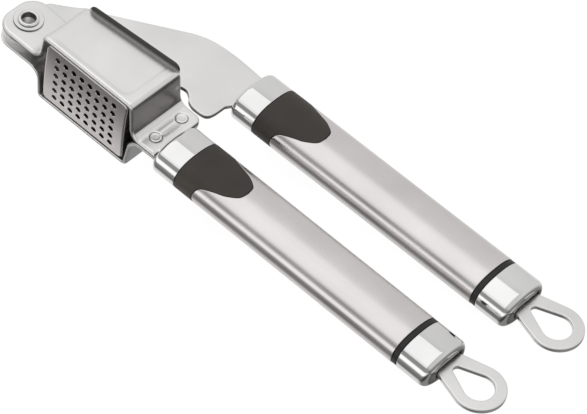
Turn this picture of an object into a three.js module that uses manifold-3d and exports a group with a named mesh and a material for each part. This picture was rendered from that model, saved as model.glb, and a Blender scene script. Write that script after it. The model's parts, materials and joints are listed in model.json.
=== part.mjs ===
// Garlic press with a drop-in sieve basket: two mirrored sheet-metal shells hold the basket and carry
// one handle, and a flat lever arm carries the other handle and the plunger that it pushes into the basket.
//
// Frame while modelling: the main hinge is the Z axis through the origin, +X runs along the handles to the
// hanging loops, +Y runs from the basket handle to the arm handle. Everything is mirrored about z = 0.
// The finished press is moved so that its box rests on z = 0 with its middle over the origin. Millimetres.

import * as THREE from 'three';
import { mergeVertices } from 'three/addons/utils/BufferGeometryUtils.js';
import Module from 'manifold-3d';

const wasm = await Module();
wasm.setup();

// ---------------------------------------------------------------- driving dimensions

const GAP = 0.2; // clearance left between neighbouring pieces
const FAR = 300; // longer than the press, for cutting tools that run right through
const ARC_STEPS = 3; // steps used on each curve of an outline
const POST_SIDES = 20;
const WASHER_SIDES = 24;
const SPOT_SIDES = 16;

// sieve basket
const SIEVE_Y = -9.4; // outer face of the perforated wall
const SIEVE_WALL = 1;
const BASKET_X = [16.9, 53.9];
const BASKET_HALF_Z = 13.3;
const BASKET_CORNER = 2;
const HOLE_PITCH = 3.69;
const HOLE_RADIUS = 1.05;
const HOLE_SIDES = 8;
const HOLE_COLUMNS = 8;
const HOLE_ROWS = 6;
const HOLE_FIRST_X = 22.4;

// folded lip round the basket's mouth
const LIP_X = [16.9, 55.3];
const LIP_HALF_Z = 17.8;
const LIP_THICK = 0.9;
const LIP_CORNER = 2.5;
const LIP_START = new THREE.Vector2(17.6, 10.6); // a point on the face that sits on the shells
const LIP_TILT = THREE.MathUtils.degToRad(4.2);

// sheet-metal shells
const SHEET = 1.5;
const PLATE_Z = 15.1; // outer face of the wide plates
const EAR_Z = 3.9; // outer face of the hinge ears
const FLANGE_Z = 1.55; // outer face of the flange where the two shells meet
const SHELL_FRONT_Y = -9.1;
const EAR_END_X = -7.4;
const EAR_BACK_Y = 9.8;
const EAR_CORNER = 7;
const EAR_SHOULDER = { x: 4.35, y: 9.5 }; // where the ear's round end starts
const NECK = { x: 8.7, y: 9.3 }; // where the ear's back edge is narrowest
const SEAT_START_X = 16.15; // where the plate starts to carry the basket's lip
const EAR_WALL_X = [13.9, 15.15]; // middle of the sheet at the ear's and at the plate's height
const END_WALL_X = [56.95, 55.3]; // middle of the sheet at the flange's and at the plate's height
const EAR_BEND = 4.7;
const CREST_BEND = 1.5;
const END_BEND = 1.8;
const COVE_BEND = 4.4;
const FLANGE_BACK = { x: 60.5, y: 14.2 }; // where the flange's straight back edge starts
const FLANGE_END_X = 67.6;
const FLANGE_CORNER = 3;

// main hinge
const BORE_RADIUS = 2.45;
const SHANK_RADIUS = 3.1;
const RIM_RADIUS = 3.7;
const RIM_HEIGHT = 0.55;
const PIVOT_HOLE = 3.3;
const WASHER_RADIUS = 5.2;
const WASHER_THICK = 0.4;
const SPACER_RADIUS = 6.8;

// spot rivets through the flange
const SPOT_X = 62.5;
const SPOT_Y = [-3.2, 9.1];
const SPOT_RADIUS = 1.5;
const SPOT_HEAD = { radius: 2.1, height: 0.35 };

// handles: lengths are counted from the front of each ferrule
const HANDLE_HALF_Y = 10.6;
const HANDLE_HALF_Z = 6.4;
const HANDLE_SQUARENESS = 2.3;
const HANDLE_SIDES = 32;
const SKIN = 0.9; // wall of the ferrule, grip, sleeve, ring and cap
const FERRULE_END = 10.4;
const SLEEVE_END = 106.5;
const RING_END = 108.5;
const CAP_END = 120.6;
const CAP_WALL = 2.4;
const FERRULE_WALL = 1.6;
const FERRULE_EDGE = 1.8;
const CAP_EDGE = 2.4;
const CORE_X = [1.9, 114.5];
const TANG_END = 26;
const TANG_HALF_Y = 6;
const TANG_SLOT_HALF_Z = 1.85;
const TONGUE = [[18.2, 11], [20.2, 8.8], [25.3, 7], [28.3, 6], [32.1, 3.4]]; // length, half width
const TONGUE_TIP = 33;
const TONGUE_STEPS = 8;

// hanging loops
const LOOP_HALF_Z = 0.9;
const LOOP_Y = 1.2; // the loops sit off the handles' middle
const LOOP_ROOT = { x: 120.9, half: 5.9 };
const LOOP_STEM = { x: 115, half: 5 };
const LOOP_RING = { x: 133.4, radius: 9.2, wrap: 0.6 * Math.PI };
const LOOP_HOLE = { x: 133.3, radius: 5.2, wrap: 0.63 * Math.PI };
const LOOP_HOLE_TIP = { x: 124.6, radius: 1.75 };

// where each handle stands
const BASKET_HANDLE = { x: 68.6, y: -1, toe: 0 };
const ARM_HANDLE = { x: 69.8, y: 34.9, toe: THREE.MathUtils.degToRad(0.45) };

// lever arm
const ARM_HALF_Z = 0.9;
const ARM_BOSS = 7.3;
const NOSE_RADIUS = 4;

// plunger
const PIN = { x: 36, y: 1.8, radius: 1.6, hole: 1.8 };
const PIN_HEAD = { radius: 2.5, height: 0.8 };
const FOOT_X = [22.9, 51.6];
const FOOT_Y = [-7.3, -4.1];
const FOOT_HALF_Z = 11.8;
const FOOT_CORNER = 2.2;
const BRACKET_X = [29.5, 42.5];
const BRACKET_BASE = 1;
const LUG_Z = [1.6, 3];
const LUG_RADIUS = 4.2;

// ---------------------------------------------------------------- materials

function steel(color, roughness) {
  return new THREE.MeshStandardMaterial({ color, roughness, metalness: 1 });
}

const satinSteel = steel(0xd4d5d4, 0.42);
const brushedSteel = steel(0xb9b4b1, 0.38);
const sieveSteel = steel(0xb6b0ae, 0.5);
const polishedSteel = steel(0xdcdcda, 0.1);
const blackPlastic = new THREE.MeshStandardMaterial({ color: 0x3a3633, roughness: 0.6, metalness: 0 });
const innerPlastic = new THREE.MeshStandardMaterial({ color: 0x4a4a4c, roughness: 0.7, metalness: 0 });

// ---------------------------------------------------------------- solids

function toSolid(geometry) {
  const bare = geometry.clone();
  bare.deleteAttribute('normal');
  bare.deleteAttribute('uv');
  const merged = mergeVertices(bare);
  const mesh = new wasm.Mesh({
    numProp: 3,
    vertProperties: merged.attributes.position.array,
    triVerts: Uint32Array.from(merged.index.array),
  });
  return new wasm.Manifold(mesh);
}

function toGeometry(solid) {
  const mesh = solid.getMesh();
  const geometry = new THREE.BufferGeometry();
  geometry.setAttribute('position', new THREE.BufferAttribute(mesh.vertProperties, 3));
  geometry.setIndex(new THREE.BufferAttribute(mesh.triVerts, 1));
  geometry.computeVertexNormals();
  return geometry;
}

function piece(name, solid, material) {
  const mesh = new THREE.Mesh(toGeometry(solid), material);
  mesh.name = name;
  return mesh;
}

function prism(shape, length, steps = ARC_STEPS) {
  return new THREE.ExtrudeGeometry(shape, { depth: length, bevelEnabled: false, curveSegments: steps });
}

// A plan outline in (x, y), standing from z0 to z1.
function alongZ(shape, z0, z1, steps) {
  return toSolid(prism(shape, z1 - z0, steps).translate(0, 0, z0));
}

// A side outline in (x, z), running from y0 to y1.
function alongY(shape, y0, y1, steps) {
  return toSolid(prism(shape, y1 - y0, steps).rotateX(Math.PI / 2).translate(0, y1, 0));
}

// A cross-section in (y, z), running from x0 to x1, with its ends rounded where bevel is given.
function alongX(shape, x0, x1, bevel = 0) {
  const geometry = new THREE.ExtrudeGeometry(shape, {
    depth: x1 - x0 - 2 * bevel,
    bevelEnabled: bevel > 0,
    bevelThickness: bevel,
    bevelSize: bevel,
    bevelOffset: -bevel,
    bevelSegments: ARC_STEPS - 1,
  });
  const axes = new THREE.Matrix4().makeBasis(
    new THREE.Vector3(0, 1, 0),
    new THREE.Vector3(0, 0, 1),
    new THREE.Vector3(1, 0, 0),
  );
  return toSolid(geometry.applyMatrix4(axes).translate(x0 + bevel, 0, 0));
}

function block(x, y, z) {
  const geometry = new THREE.BoxGeometry(x[1] - x[0], y[1] - y[0], z[1] - z[0]);
  return toSolid(geometry.translate((x[0] + x[1]) / 2, (y[0] + y[1]) / 2, (z[0] + z[1]) / 2));
}

// An upright cylinder from z0 to z1.
function post(x, y, radius, z0, z1, sides = POST_SIDES) {
  const geometry = new THREE.CylinderGeometry(radius, radius, z1 - z0, sides);
  return toSolid(geometry.rotateX(Math.PI / 2).translate(x, y, (z0 + z1) / 2));
}

// ---------------------------------------------------------------- outlines

function roundedRectangle(x, y, radius) {
  const shape = new THREE.Shape();
  shape.absarc(x[1] - radius, y[1] - radius, radius, 0, Math.PI / 2);
  shape.absarc(x[0] + radius, y[1] - radius, radius, Math.PI / 2, Math.PI);
  shape.absarc(x[0] + radius, y[0] + radius, radius, Math.PI, Math.PI * 1.5);
  shape.absarc(x[1] - radius, y[0] + radius, radius, Math.PI * 1.5, Math.PI * 2);
  return shape;
}

// The handles' oval section, drawn in (y, z) and shrunk by inset.
function ovalSection(inset = 0) {
  const points = [];
  for (let i = 0; i < HANDLE_SIDES; i++) {
    const angle = (2 * Math.PI * i) / HANDLE_SIDES;
    const y = Math.sign(Math.cos(angle)) * Math.abs(Math.cos(angle)) ** (2 / HANDLE_SQUARENESS);
    const z = Math.sign(Math.sin(angle)) * Math.abs(Math.sin(angle)) ** (2 / HANDLE_SQUARENESS);
    points.push(new THREE.Vector2(y * (HANDLE_HALF_Y - inset), z * (HANDLE_HALF_Z - inset)));
  }
  return new THREE.Shape(points);
}

// One edge of a bent sheet: the middle line moved sideways, with an arc at each bend.
function bentEdge(corners, offset) {
  const points = [];
  const last = corners.length - 1;
  const direction = (i) => corners[i + 1].at.clone().sub(corners[i].at).normalize();
  const sideways = (d) => new THREE.Vector2(-d.y, d.x).multiplyScalar(offset);
  points.push(corners[0].at.clone().add(sideways(direction(0))));
  for (let i = 1; i < last; i++) {
    const before = direction(i - 1);
    const after = direction(i);
    const turn = before.cross(after) > 0 ? 1 : -1;
    const half = before.angleTo(after) / 2;
    const start = corners[i].at.clone().addScaledVector(before, -corners[i].bend * Math.tan(half));
    const inwards = new THREE.Vector2(-before.y, before.x).multiplyScalar(turn * corners[i].bend);
    const centre = start.clone().add(inwards);
    const radius = corners[i].bend - turn * offset;
    const spoke = start.clone().sub(centre).setLength(radius);
    for (let step = 0; step <= ARC_STEPS + 1; step++) {
      const angle = (turn * 2 * half * step) / (ARC_STEPS + 1);
      points.push(spoke.clone().rotateAround(new THREE.Vector2(), angle).add(centre));
    }
  }
  points.push(corners[last].at.clone().add(sideways(direction(last - 1))));
  return points;
}

function bentSheet(corners, thickness) {
  const outer = bentEdge(corners, thickness / 2);
  const inner = bentEdge(corners, -thickness / 2).reverse();
  return new THREE.Shape([...outer, ...inner]);
}

// The y of the lip's seat on the shells at a given x.
function lipSeat(x) {
  return LIP_START.y + (x - LIP_START.x) * Math.tan(LIP_TILT);
}

// ---------------------------------------------------------------- shells

function shellPlan() {
  const tangBack = BASKET_HANDLE.y + TANG_HALF_Y;
  const tangFront = BASKET_HANDLE.y - TANG_HALF_Y;
  const tangEnd = BASKET_HANDLE.x + TANG_END;
  const left = EAR_END_X + EAR_CORNER;
  const corner = FLANGE_END_X - FLANGE_CORNER;
  const shape = new THREE.Shape();
  shape.moveTo(FLANGE_END_X, SHELL_FRONT_Y);
  shape.lineTo(FLANGE_END_X, tangFront);
  shape.lineTo(tangEnd, tangFront);
  shape.lineTo(tangEnd, tangBack);
  shape.lineTo(FLANGE_END_X, tangBack);
  shape.absarc(corner, FLANGE_BACK.y - FLANGE_CORNER, FLANGE_CORNER, 0, Math.PI / 2);
  shape.lineTo(FLANGE_BACK.x, FLANGE_BACK.y);
  shape.lineTo(END_WALL_X[0], lipSeat(END_WALL_X[0]) - GAP);
  shape.lineTo(SEAT_START_X, lipSeat(SEAT_START_X) - GAP);
  shape.quadraticCurveTo(EAR_WALL_X[0], NECK.y, NECK.x, NECK.y);
  shape.lineTo(EAR_SHOULDER.x, EAR_SHOULDER.y);
  shape.absarc(left, EAR_BACK_Y - EAR_CORNER, EAR_CORNER, Math.PI / 2, Math.PI);
  shape.absarc(left, SHELL_FRONT_Y + EAR_CORNER, EAR_CORNER, Math.PI, Math.PI * 1.5);
  return shape;
}

// side is +1 for the upper shell and -1 for the lower one.
function shell(name, side) {
  const middle = SHEET / 2;
  const at = (x, z) => new THREE.Vector2(x, side * z);
  const sheet = bentSheet([
    { at: at(EAR_END_X - 1, EAR_Z - middle) },
    { at: at(EAR_WALL_X[0], EAR_Z - middle), bend: EAR_BEND },
    { at: at(EAR_WALL_X[1], PLATE_Z - middle), bend: CREST_BEND },
    { at: at(END_WALL_X[1], PLATE_Z - middle), bend: END_BEND },
    { at: at(END_WALL_X[0], FLANGE_Z - middle), bend: COVE_BEND },
    { at: at(FAR, FLANGE_Z - middle) },
  ], SHEET);
  const reach = 2 * EAR_BACK_Y;
  let solid = alongY(sheet, -reach, reach).intersect(alongZ(shellPlan(), -reach, reach));
  solid = solid.subtract(post(0, 0, PIVOT_HOLE, -reach, reach));
  for (const y of SPOT_Y) {
    solid = solid.subtract(post(SPOT_X, y, SPOT_RADIUS + GAP, -reach, reach));
  }
  return piece(name, solid, satinSteel);
}

function flangeRivet(name, y) {
  const head = FLANGE_Z + GAP / 2;
  const shank = post(SPOT_X, y, SPOT_RADIUS, -head, head, SPOT_SIDES);
  const top = post(SPOT_X, y, SPOT_HEAD.radius, head, head + SPOT_HEAD.height, SPOT_SIDES);
  const bottom = post(SPOT_X, y, SPOT_HEAD.radius, -head - SPOT_HEAD.height, -head, SPOT_SIDES);
  return piece(name, shank.add(top).add(bottom), satinSteel);
}

// ---------------------------------------------------------------- sieve basket

function basketWalls() {
  const z = [-BASKET_HALF_Z, BASKET_HALF_Z];
  const inside = (range) => [range[0] + SIEVE_WALL, range[1] - SIEVE_WALL];
  const outer = roundedRectangle(BASKET_X, z, BASKET_CORNER);
  const inner = roundedRectangle(inside(BASKET_X), inside(z), BASKET_CORNER - SIEVE_WALL);
  const top = lipSeat(BASKET_X[1]) + LIP_THICK;
  let walls = alongY(outer, SIEVE_Y, top).subtract(alongY(inner, SIEVE_Y + SIEVE_WALL, top + 1));
  for (let column = 0; column < HOLE_COLUMNS; column++) {
    for (let row = 0; row < HOLE_ROWS; row++) {
      const hole = new THREE.CylinderGeometry(HOLE_RADIUS, HOLE_RADIUS, 4 * SIEVE_WALL, HOLE_SIDES);
      const x = HOLE_FIRST_X + column * HOLE_PITCH;
      const height = (row - (HOLE_ROWS - 1) / 2) * HOLE_PITCH;
      walls = walls.subtract(toSolid(hole.translate(x, SIEVE_Y, height)));
    }
  }
  return walls;
}

// A solid lying on the lip's tilted plane, from low to high above the lip's seat.
function onLip(shape, low, high) {
  const slab = prism(shape, high - low).rotateX(Math.PI / 2).translate(0, high, 0);
  slab.rotateZ(LIP_TILT).translate(LIP_START.x, LIP_START.y, 0);
  return toSolid(slab);
}

function sieveBasket() {
  const along = (x) => (x - LIP_START.x) / Math.cos(LIP_TILT);
  const z = [-LIP_HALF_Z, LIP_HALF_Z];
  const mouthZ = [-BASKET_HALF_Z + SIEVE_WALL, BASKET_HALF_Z - SIEVE_WALL];
  const mouthX = [BASKET_X[0] + SIEVE_WALL, BASKET_X[1] - SIEVE_WALL];
  const lip = onLip(roundedRectangle(LIP_X.map(along), z, LIP_CORNER), 0, LIP_THICK);
  const above = onLip(roundedRectangle([-FAR, FAR], [-FAR, FAR], LIP_CORNER), LIP_THICK, FAR);
  const mouth = alongY(roundedRectangle(mouthX, mouthZ, BASKET_CORNER - SIEVE_WALL), 0, FAR);
  const basket = basketWalls().subtract(above).add(lip.subtract(mouth));
  return piece('sieve_basket', basket, sieveSteel);
}

// ---------------------------------------------------------------- main hinge

function rivetSolid() {
  const seat = EAR_Z + WASHER_THICK + 2 * GAP;
  const tip = seat + RIM_HEIGHT;
  const shank = post(0, 0, SHANK_RADIUS, -seat, seat);
  const rims = post(0, 0, RIM_RADIUS, seat, tip).add(post(0, 0, RIM_RADIUS, -tip, -seat));
  return shank.add(rims).subtract(post(0, 0, BORE_RADIUS, -2 * tip, 2 * tip));
}

function ringPlate(name, radius, z0, z1) {
  const plate = post(0, 0, radius, z0, z1, WASHER_SIDES).subtract(post(0, 0, PIVOT_HOLE, z0 - 1, z1 + 1));
  return piece(name, plate, satinSteel);
}

function hinge() {
  const washer = [EAR_Z + GAP / 2, EAR_Z + GAP / 2 + WASHER_THICK];
  const spacer = [ARM_HALF_Z + GAP / 2, EAR_Z - SHEET - GAP / 2];
  const group = new THREE.Group();
  group.add(piece('pivot_rivet', rivetSolid(), satinSteel));
  group.add(ringPlate('upper_pivot_washer', WASHER_RADIUS, washer[0], washer[1]));
  group.add(ringPlate('lower_pivot_washer', WASHER_RADIUS, -washer[1], -washer[0]));
  group.add(ringPlate('upper_spacer_washer', SPACER_RADIUS, spacer[0], spacer[1]));
  group.add(ringPlate('lower_spacer_washer', SPACER_RADIUS, -spacer[1], -spacer[0]));
  return group;
}

// ---------------------------------------------------------------- handles

// A length of the oval tube, from x0 to x1.
function tube(x0, x1, outerEnds = 0) {
  return alongX(ovalSection(), x0, x1, outerEnds);
}

function hollow(solid) {
  return solid.subtract(alongX(ovalSection(SKIN), -FAR, FAR));
}

// The plan of the grip, which ends in a tongue that the sleeve is cut round, widened by clearance.
function tonguePlan(clearance) {
  const far = TONGUE.map(([x, half]) => new THREE.Vector2(x + clearance, half + clearance));
  const near = far.map((point) => new THREE.Vector2(point.x, -point.y)).reverse();
  const curve = new THREE.SplineCurve([...far, new THREE.Vector2(TONGUE_TIP + clearance, 0), ...near]);
  const edge = curve.getPoints(TONGUE_STEPS * TONGUE.length);
  const wide = 2 * HANDLE_HALF_Y;
  const front = [new THREE.Vector2(edge[0].x, -wide), new THREE.Vector2(-1, -wide)];
  const back = [new THREE.Vector2(-1, wide), new THREE.Vector2(edge[0].x, wide)];
  return new THREE.Shape([...edge, ...front, ...back]);
}

function ferrule() {
  const length = FERRULE_END - GAP / 2;
  const back = block([length, FAR], [-FAR, FAR], [-FAR, FAR]);
  const cup = tube(0, 2 * length, FERRULE_EDGE).subtract(back);
  const inside = alongX(ovalSection(SKIN), FERRULE_WALL, FAR);
  const slotY = [-TANG_HALF_Y - GAP, TANG_HALF_Y + GAP];
  const slot = block([-1, length], slotY, [-TANG_SLOT_HALF_Z, TANG_SLOT_HALF_Z]);
  return cup.subtract(inside).subtract(slot);
}

function grip() {
  const body = hollow(tube(FERRULE_END + GAP / 2, TONGUE_TIP + 1));
  return body.intersect(alongZ(tonguePlan(0), -FAR, FAR));
}

function sleeve() {
  const body = hollow(tube(TONGUE[0][0], SLEEVE_END - GAP / 2));
  return body.subtract(alongZ(tonguePlan(GAP), -FAR, FAR));
}

function ring() {
  return hollow(tube(SLEEVE_END + GAP / 2, RING_END - GAP / 2));
}

function cap() {
  const start = RING_END + GAP / 2;
  const front = block([0, start], [-FAR, FAR], [-FAR, FAR]);
  const cup = tube(2 * start - CAP_END, CAP_END, CAP_EDGE).subtract(front);
  const inside = alongX(ovalSection(SKIN), 0, CAP_END - CAP_WALL);
  const slotHalfY = LOOP_ROOT.half + GAP;
  const slotHalfZ = LOOP_HALF_Z + GAP;
  const slot = block([start, FAR], [LOOP_Y - slotHalfY, LOOP_Y + slotHalfY], [-slotHalfZ, slotHalfZ]);
  return cup.subtract(inside).subtract(slot);
}

function loop() {
  const shape = new THREE.Shape();
  shape.moveTo(LOOP_STEM.x + 1, -LOOP_STEM.half);
  shape.lineTo(LOOP_ROOT.x - CAP_WALL, -LOOP_STEM.half);
  shape.lineTo(LOOP_ROOT.x, -LOOP_ROOT.half);
  shape.absarc(LOOP_RING.x, 0, LOOP_RING.radius, -LOOP_RING.wrap, LOOP_RING.wrap);
  shape.lineTo(LOOP_ROOT.x, LOOP_ROOT.half);
  shape.lineTo(LOOP_ROOT.x - CAP_WALL, LOOP_STEM.half);
  shape.lineTo(LOOP_STEM.x + 1, LOOP_STEM.half);
  const hole = new THREE.Path();
  hole.absarc(LOOP_HOLE.x, 0, LOOP_HOLE.radius, -LOOP_HOLE.wrap, LOOP_HOLE.wrap);
  hole.absarc(LOOP_HOLE_TIP.x, 0, LOOP_HOLE_TIP.radius, LOOP_HOLE.wrap, 2 * Math.PI - LOOP_HOLE.wrap);
  shape.holes.push(hole);
  return alongZ(shape, -LOOP_HALF_Z, LOOP_HALF_Z, 2 * ARC_STEPS).translate([0, LOOP_Y, 0]);
}

function core() {
  const body = alongX(ovalSection(SKIN + GAP), CORE_X[0], CORE_X[1]);
  const slotY = [-TANG_HALF_Y - GAP, TANG_HALF_Y + GAP];
  const slot = block([-1, TANG_END + GAP], slotY, [-TANG_SLOT_HALF_Z, TANG_SLOT_HALF_Z]);
  return body.subtract(slot);
}

function handle(owner, place) {
  const group = new THREE.Group();
  group.add(piece(`${owner}_handle_ferrule`, ferrule(), polishedSteel));
  group.add(piece(`${owner}_handle_grip`, grip(), blackPlastic));
  group.add(piece(`${owner}_handle_sleeve`, sleeve(), brushedSteel));
  group.add(piece(`${owner}_handle_ring`, ring(), blackPlastic));
  group.add(piece(`${owner}_handle_cap`, cap(), polishedSteel));
  group.add(piece(`${owner}_handle_loop`, loop(), satinSteel));
  group.add(piece(`${owner}_handle_core`, core(), innerPlastic));
  group.position.set(place.x, place.y, 0);
  group.rotation.z = place.toe;
  return group;
}

// ---------------------------------------------------------------- lever arm

function armPlan() {
  const tangEnd = ARM_HANDLE.x + TANG_END - GAP;
  const tangBack = ARM_HANDLE.y + TANG_HALF_Y - GAP;
  const tangFront = ARM_HANDLE.y - TANG_HALF_Y + GAP;
  const shoulder = ARM_HANDLE.x - GAP;
  const spline = (...points) => shape.splineThru(points.map(([x, y]) => new THREE.Vector2(x, y)));
  const shape = new THREE.Shape();
  shape.absarc(0, 0, ARM_BOSS, Math.PI * 0.9, Math.PI * 2);
  shape.lineTo(12.2, 10.4);
  spline([15.8, 13.1], [20, 13.6], [24.6, 11.6]);
  shape.absarc(PIN.x, PIN.y, NOSE_RADIUS, Math.PI * 1.12, Math.PI * 1.88);
  spline([48.2, 12.6], [50.4, 18], [54.2, 19.6], [57, 18.4], [58.8, 16.6], [61.5, 15.7]);
  spline([65.8, 15.9], [67.6, 17.2], [68.2, 19.6]);
  shape.lineTo(68.3, 24.2);
  shape.lineTo(shoulder, 26.4);
  shape.lineTo(shoulder, tangFront);
  shape.lineTo(tangEnd, tangFront);
  shape.lineTo(tangEnd, tangBack);
  shape.lineTo(shoulder, tangBack);
  shape.lineTo(shoulder, 42.4);
  spline([56.5, 43], [47, 42.3], [40.5, 40.2], [35, 37]);
  shape.lineTo(14, 23.9);
  spline([8, 21], [4.4, 17.8], [-2.5, 12.7]);
  return shape;
}

function armPlate() {
  const plate = alongZ(armPlan(), -ARM_HALF_Z, ARM_HALF_Z, 2 * ARC_STEPS);
  const pivot = post(0, 0, PIVOT_HOLE, -FAR, FAR);
  const pin = post(PIN.x, PIN.y, PIN.hole, -FAR, FAR);
  return piece('arm_plate', plate.subtract(pivot).subtract(pin), satinSteel);
}

// ---------------------------------------------------------------- plunger

function plungerFoot() {
  const shape = roundedRectangle(FOOT_X, [-FOOT_HALF_Z, FOOT_HALF_Z], FOOT_CORNER);
  return piece('plunger_foot', alongY(shape, FOOT_Y[0], FOOT_Y[1]), satinSteel);
}

function plungerBracket() {
  const seat = FOOT_Y[1] + GAP / 2;
  const base = block(BRACKET_X, [seat, seat + BRACKET_BASE], [-LUG_Z[1], LUG_Z[1]]);
  const lugPlan = new THREE.Shape();
  lugPlan.moveTo(BRACKET_X[0], seat);
  lugPlan.lineTo(BRACKET_X[1], seat);
  lugPlan.absarc(PIN.x, PIN.y, LUG_RADIUS, 0, Math.PI);
  const upper = alongZ(lugPlan, LUG_Z[0], LUG_Z[1]);
  const lower = alongZ(lugPlan, -LUG_Z[1], -LUG_Z[0]);
  const hole = post(PIN.x, PIN.y, PIN.hole, -FAR, FAR);
  return piece('plunger_bracket', base.add(upper).add(lower).subtract(hole), satinSteel);
}

function plungerPin() {
  const seat = LUG_Z[1] + GAP / 2;
  const tip = seat + PIN_HEAD.height;
  const shank = post(PIN.x, PIN.y, PIN.radius, -seat, seat);
  const upper = post(PIN.x, PIN.y, PIN_HEAD.radius, seat, tip);
  const lower = post(PIN.x, PIN.y, PIN_HEAD.radius, -tip, -seat);
  return piece('plunger_pin', shank.add(upper).add(lower), satinSteel);
}

// ---------------------------------------------------------------- assembly

const press = new THREE.Group();
press.add(shell('upper_shell', 1));
press.add(shell('lower_shell', -1));
press.add(sieveBasket());
press.add(flangeRivet('flange_rivet_front', SPOT_Y[0]));
press.add(flangeRivet('flange_rivet_back', SPOT_Y[1]));
press.add(hinge());
press.add(handle('basket', BASKET_HANDLE));
press.add(armPlate());
press.add(handle('arm', ARM_HANDLE));
press.add(plungerFoot());
press.add(plungerBracket());
press.add(plungerPin());

const box = new THREE.Box3().setFromObject(press);
const middle = box.getCenter(new THREE.Vector3());
press.position.set(-middle.x, -middle.y, -box.min.z);

const model = new THREE.Group();
model.add(press);
export default model;
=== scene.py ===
# Garlic press: smooth, detailed pieces and their materials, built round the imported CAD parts.
# Shapes are drawn in millimetres about the main hinge, which is the z axis through (0, 0), with +x along
# the handles and +y from the basket handle to the arm handle. piece() moves each one into the frame.
# Each piece keeps to its CAD part's size. What differs is small: rounded rims, the shapes pressed into the
# shells, the curve of the sieve, and the shells' back edges, which reach into the fold of the lip.

import json
import math

import bmesh
import bpy
import numpy as np
from mathutils import Matrix, Vector


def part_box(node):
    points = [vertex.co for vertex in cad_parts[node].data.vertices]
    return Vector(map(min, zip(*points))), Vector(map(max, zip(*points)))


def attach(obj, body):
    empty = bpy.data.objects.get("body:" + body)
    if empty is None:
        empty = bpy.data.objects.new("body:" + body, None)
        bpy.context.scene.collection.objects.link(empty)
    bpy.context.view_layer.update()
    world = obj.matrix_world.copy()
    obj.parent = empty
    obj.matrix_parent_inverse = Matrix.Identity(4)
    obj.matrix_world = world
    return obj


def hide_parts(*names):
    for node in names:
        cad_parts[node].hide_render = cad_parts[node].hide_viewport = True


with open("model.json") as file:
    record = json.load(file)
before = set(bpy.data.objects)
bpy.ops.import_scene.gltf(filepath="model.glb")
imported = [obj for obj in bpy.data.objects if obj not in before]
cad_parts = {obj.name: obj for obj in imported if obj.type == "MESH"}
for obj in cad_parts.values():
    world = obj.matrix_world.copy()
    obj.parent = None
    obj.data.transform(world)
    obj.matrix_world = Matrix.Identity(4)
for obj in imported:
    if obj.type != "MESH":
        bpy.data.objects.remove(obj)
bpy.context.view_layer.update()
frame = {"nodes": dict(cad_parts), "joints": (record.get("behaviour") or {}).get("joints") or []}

# ------------------------------------------------------------------ dimensions, in millimetres

MM = 0.001
JOINTS = {joint["name"]: joint for joint in frame["joints"]}
HINGE = Vector(JOINTS["arm_hinge"]["pos_m"])
PIN = (Vector(JOINTS["plunger_pivot"]["pos_m"]) - HINGE) / MM
TO_FRAME = Matrix.Translation(HINGE) @ Matrix.Scale(MM, 4)

GAP = 0.2  # clearance left between neighbouring pieces
ARC_STEPS = 16
SPLINE_STEPS = 8
CORNER_STEPS = 8
TINY = 0.01  # radius of the closing ring where a turned piece reaches its axis
EDGE_STEPS = 4  # facets on a rounded rim
SIDE_BORDER = 0.3  # keeps the rims' shading off the handles' long sides
FACE_BORDER = 0.2  # keeps the rims' shading off the flat faces
BEND_STEPS = 8  # facets on a bend of the sheet
UPRIGHT = 0.95  # a face is a rim, not a flat side, if its normal's height is below this
FACING = 0.97  # a face is square to an axis if its normal's part along it is above this
MARGIN = 1.0  # room round a place in the rules that choose faces or shapes
MERGE = 1e-4  # points closer than this count as one
MITRE_LIMIT = 0.5  # keeps an inset corner from shooting out
SHARP_ANGLE = math.radians(40)  # edges above this stay sharp in the shading

# sieve basket
SIEVE_Y = -9.4
SIEVE_WALL = 1.0
BASKET_X = (16.9, 53.9)
BASKET_HALF_Z = 13.1  # a little clear of the shells
SIEVE_BULGE = 0.5  # how far the middle of the sieve stands out
SIEVE_GRID = 0.8  # spacing of the points that carry the bulge
BASKET_CORNER = 2.0
BASKET_EDGE = 0.7
MOUTH_EDGE = 0.6
CUP_EDGE = 0.5
HOLE_PITCH = 3.69
HOLE_RADIUS = 1.05
HOLE_CHAMFER = 0.12
HOLE_SIDES = 24
HOLE_COLUMNS = 8
HOLE_ROWS = 6
HOLE_FIRST_X = 22.4

# folded lip round the basket's mouth
LIP_X = (16.9, 55.3)
LIP_HALF_Z = 17.8
LIP_THICK = 0.9
LIP_CORNER = 2.5
LIP_EDGE = 0.25
LIP_BACK = 0.5  # faces of the lip that point more than this to +y are its back
# painted shade: the lip's steel darkens from the first height to the second
LIP_FADE = (0.0, 1.5)  # heights above the plate between which the lip turns dark
LIP_TUCK = 0.8  # how far the shells' back edge reaches into the fold of the lip
LIP_START = (17.6, 10.6)
LIP_SLOPE = math.tan(math.radians(4.2))

# sheet-metal shells
SHEET = 1.5
SHEET_SPARE = 1.0  # the bent line runs on this far past the ends of the sheet
WALL_FACING = 0.8  # a face is on the end wall if its normal points more than this to +x
SHELL_EDGE = 1.0
SHELL_INNER_EDGE = 0.3
PLATE_Z = 15.1
EAR_Z = 3.9
FLANGE_Z = 1.55
SHELL_FRONT_Y = -9.1
EAR_END_X = -7.4
EAR_BACK_Y = 9.8
EAR_CORNER = 7.0
EAR_SHOULDER = (4.35, 9.5)
NECK = (8.7, 9.3)
NECK_ROOT = (13.0, 9.65)
SEAT_START_X = 16.15
EAR_WALL_X = (13.9, 15.15)
END_WALL_X = (56.95, 55.3)
EAR_BEND = 4.7
CREST_BEND = 1.5
END_BEND = 1.8
COVE_BEND = 4.4
FLANGE_BACK = (60.5, 14.2)
FLANGE_END_X = 67.6
FLANGE_CORNER = 3.0
SHEET_GRID = 0.7  # spacing of the points that carry the pressed shapes
PLAN_STEP = 1.0  # longest step along the flat outline

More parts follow.
